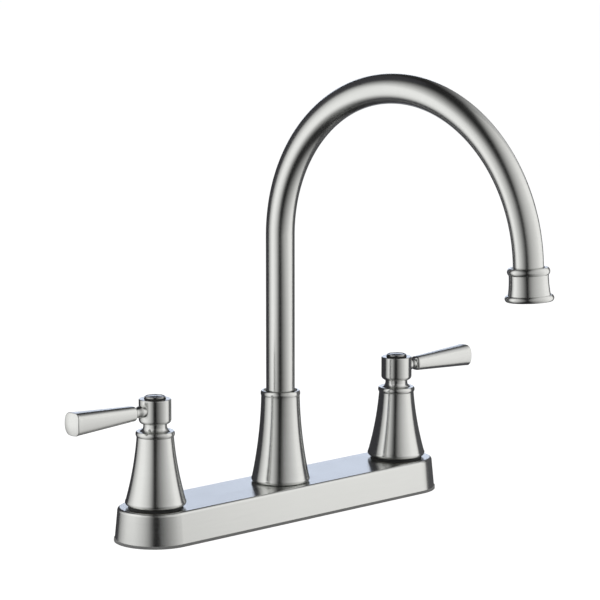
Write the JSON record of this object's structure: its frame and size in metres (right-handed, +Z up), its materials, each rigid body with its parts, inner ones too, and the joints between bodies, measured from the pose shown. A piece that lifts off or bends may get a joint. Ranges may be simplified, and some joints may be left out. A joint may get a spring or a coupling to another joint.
{
  "type": "two handle kitchen faucet",
  "caption": "Deck-mounted kitchen faucet with a long base plate, bell-shaped lever handles and a swivelling gooseneck spout.",
  "frame": {"origin": "on the sink deck, under the base gasket, midway between the two handle axes", "axes": "+Z up out of the sink deck, +X to the cold handle, -Y towards the user, where the spout points"},
  "size_m": [0.332, 0.2314, 0.321],
  "materials": {
    "brushed_nickel": "satin nickel, brushed round the axis",
    "brushed_nickel_plate": "satin nickel, brushed along its length",
    "brushed_nickel_lever": "satin nickel, brushed along the lever",
    "brushed_nickel_tube": "satin nickel, brushed round the tube",
    "polished_nickel": "polished nickel",
    "brass": "machined brass",
    "copper": "drawn copper",
    "zinc_steel": "zinc plated steel",
    "black_plastic": "black moulded plastic",
    "grey_plastic": "grey moulded plastic",
    "white_nylon": "natural nylon",
    "red_fibre": "vulcanised fibre",
    "white_ceramic": "lapped alumina",
    "black_rubber": "moulded rubber",
    "grey_gasket": "grey rubber, matt"
  },
  "bodies": {
    "root": {"base_gasket": "grey_gasket", "deck_plate": "brushed_nickel_plate", "spout_socket": "brass", "spout_bell": "brushed_nickel", "spout_bushing": "white_nylon", "retaining_nut": "brass", "locknuts": "brass", "mounting_washers": "zinc_steel", "mounting_nuts": "black_plastic", "hot_valve_body": "brass", "hot_waterway_tube": "copper", "hot_cartridge_housing": "brass", "hot_bonnet_washer": "red_fibre", "hot_seat_seal": "black_rubber", "hot_fixed_disc": "white_ceramic", "hot_glide_ring": "black_plastic", "cold_valve_body": "brass", "cold_waterway_tube": "copper", "cold_cartridge_housing": "brass", "cold_bonnet_washer": "red_fibre", "cold_seat_seal": "black_rubber", "cold_fixed_disc": "white_ceramic", "cold_glide_ring": "black_plastic"},
    "spout": {"spout_tube": "brushed_nickel_tube", "spout_spigot": "brass", "spout_o_rings": "black_rubber", "outlet_housing": "brushed_nickel", "outlet_washer": "black_rubber", "outlet_insert": "grey_plastic", "outlet_screen": "zinc_steel"},
    "hot_handle": {"hot_handle_body": "brushed_nickel", "hot_lever": "brushed_nickel_lever", "hot_handle_screw": "zinc_steel", "hot_index_button": "polished_nickel", "hot_button_ring": "black_rubber", "hot_spindle": "brass", "hot_spindle_o_ring": "black_rubber", "hot_moving_disc": "white_ceramic"},
    "cold_handle": {"cold_handle_body": "brushed_nickel", "cold_lever": "brushed_nickel_lever", "cold_handle_screw": "zinc_steel", "cold_index_button": "polished_nickel", "cold_button_ring": "black_rubber", "cold_spindle": "brass", "cold_spindle_o_ring": "black_rubber", "cold_moving_disc": "white_ceramic"}
  },
  "joints": [
    {"name": "spout_swivel", "type": "hinge", "parent": "root", "child": "spout", "pos_m": [0, 0, 0.05], "axis": [0, 0, 1], "continuous": true},
    {"name": "hot_handle_turn", "type": "hinge", "parent": "root", "child": "hot_handle", "pos_m": [-0.1016, 0, 0.05], "axis": [0, 0, 1], "range_deg": [0, 90]},
    {"name": "cold_handle_turn", "type": "hinge", "parent": "root", "child": "cold_handle", "pos_m": [0.1016, 0, 0.05], "axis": [0, 0, 1], "range_deg": [-90, 0]}
  ]
}
